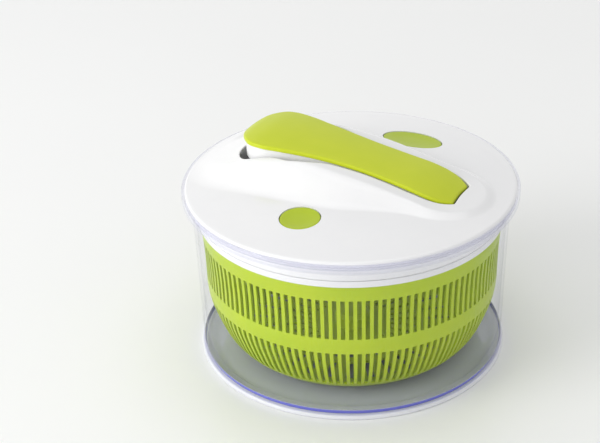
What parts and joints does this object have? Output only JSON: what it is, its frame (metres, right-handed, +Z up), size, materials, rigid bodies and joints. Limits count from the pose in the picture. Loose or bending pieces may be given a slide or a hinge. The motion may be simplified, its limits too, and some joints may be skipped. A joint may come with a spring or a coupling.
{
  "type": "salad spinner",
  "caption": "Lever-driven salad spinner: clear bowl, slotted basket and domed white lid with a wide press lever, a geared spin drive, a brake button and a lever lock button.",
  "frame": {"origin": "centre of the foot ring on the table", "axes": "+Z up, the lever lies along X with its hinge towards +X and its free end towards -X, the round lock button is towards -Y"},
  "size_m": [0.2546, 0.2546, 0.1683],
  "materials": {
    "clear": "clear glossy moulded plastic, faint blue-violet in the thick edges",
    "foot_tpe": "satin pale ring",
    "white_lid": "glossy white moulded plastic",
    "plate_white": "satin white moulded plastic",
    "lime": "satin lime green moulded plastic",
    "acetal": "satin natural acetal",
    "steel": "fine turned steel",
    "spring_steel": "drawn spring wire",
    "rubber_pad": "matt dark rubber"
  },
  "bodies": {
    "bowl": {"outer_bowl": "clear", "foot_ring": "foot_tpe"},
    "pivot_cup": {"basket_pivot_cup": "acetal"},
    "basket": {"basket": "lime"},
    "lid": {"lid_shell": "white_lid", "lid_base": "white_lid", "output_bush": "acetal", "hinge_pin": "steel", "idler_post": "acetal", "lid_screw_1": "steel", "lid_screw_2": "steel", "lid_screw_3": "steel", "lid_screw_4": "steel", "lid_screw_5": "steel", "lid_screw_6": "steel", "lever_spring": "spring_steel", "brake_spring": "spring_steel", "lock_spring": "spring_steel"},
    "lever": {"lever_cover": "lime", "lever_body": "white_lid", "drive_sector": "acetal", "lever_screw_1": "steel", "lever_screw_2": "steel"},
    "cross_shaft": {"cross_shaft": "steel", "cross_pinion": "acetal", "crown_gear": "acetal"},
    "idler": {"idler_pinion": "acetal", "idler_gear": "acetal"},
    "clutch_drum": {"clutch_gear": "acetal"},
    "output": {"output_shaft": "steel", "clutch_hub": "acetal", "clutch_roller_1": "steel", "clutch_roller_2": "steel", "clutch_roller_3": "steel", "drive_plate": "plate_white", "plate_washer": "steel", "plate_screw": "steel", "shaft_clip": "steel"},
    "brake_button": {"brake_button": "lime", "brake_stem": "acetal", "brake_pad": "rubber_pad"},
    "lock_button": {"lock_button": "lime"},
    "lock_bolt": {"lock_bolt": "acetal"}
  },
  "joints": [
    {"name": "lid_lift", "type": "slide", "parent": "bowl", "child": "lid", "axis": [0, 0, 1], "range_m": [0, 0.25]},
    {"name": "basket_lift", "type": "slide", "parent": "bowl", "child": "pivot_cup", "axis": [0, 0, 1], "range_m": [0, 0.14]},
    {"name": "basket_spin", "type": "hinge", "parent": "pivot_cup", "child": "basket", "pos_m": [0, 0, 0.0184], "axis": [0, 0, 1], "continuous": true},
    {"name": "lever_hinge", "type": "hinge", "parent": "lid", "child": "lever", "pos_m": [0.074, 0, 0.1335], "axis": [0, -1, 0], "range_deg": [0, 6], "stiffness_Nm_per_rad": 0.45, "springref_deg": -20.05},
    {"name": "cross_shaft_turn", "type": "hinge", "parent": "lid", "child": "cross_shaft", "pos_m": [-0.02494, 0, 0.137], "axis": [0, -1, 0], "range_deg": [-113, 0]},
    {"name": "idler_turn", "type": "hinge", "parent": "lid", "child": "idler", "pos_m": [-0.02494, 0.0138, 0.12], "axis": [0, 0, 1], "range_deg": [-226, 0]},
    {"name": "clutch_drum_turn", "type": "hinge", "parent": "lid", "child": "clutch_drum", "pos_m": [0, 0, 0.122], "axis": [0, 0, 1], "range_deg": [0, 579]},
    {"name": "output_spin", "type": "hinge", "parent": "lid", "child": "output", "pos_m": [0, 0, 0.118], "axis": [0, 0, 1], "continuous": true},
    {"name": "brake_press", "type": "slide", "parent": "lid", "child": "brake_button", "axis": [0, 0, -1], "range_m": [0, 0.0035], "stiffness_N_per_m": 300, "springref_m": -0.004, "deforming": ["brake_spring"]},
    {"name": "lock_press", "type": "slide", "parent": "lid", "child": "lock_button", "axis": [0, 0, -1], "range_m": [0, 0.004], "stiffness_N_per_m": 300, "springref_m": -0.004, "deforming": ["lock_spring"]},
    {"name": "lock_bolt_slide", "type": "slide", "parent": "lid", "child": "lock_bolt", "axis": [0, 1, 0], "range_m": [0, 0.005]}
  ],
  "couplings": [
    {"joint": "basket_lift", "follows": "lid_lift", "ratio": 0.55},
    {"joint": "basket_spin", "follows": "output_spin", "ratio": 1},
    {"joint": "cross_shaft_turn", "follows": "lever_hinge", "ratio": -18.8},
    {"joint": "idler_turn", "follows": "lever_hinge", "ratio": -37.6},
    {"joint": "clutch_drum_turn", "follows": "lever_hinge", "ratio": 96.35},
    {"joint": "lock_bolt_slide", "follows": "lock_press", "ratio": 1.25}
  ]
}
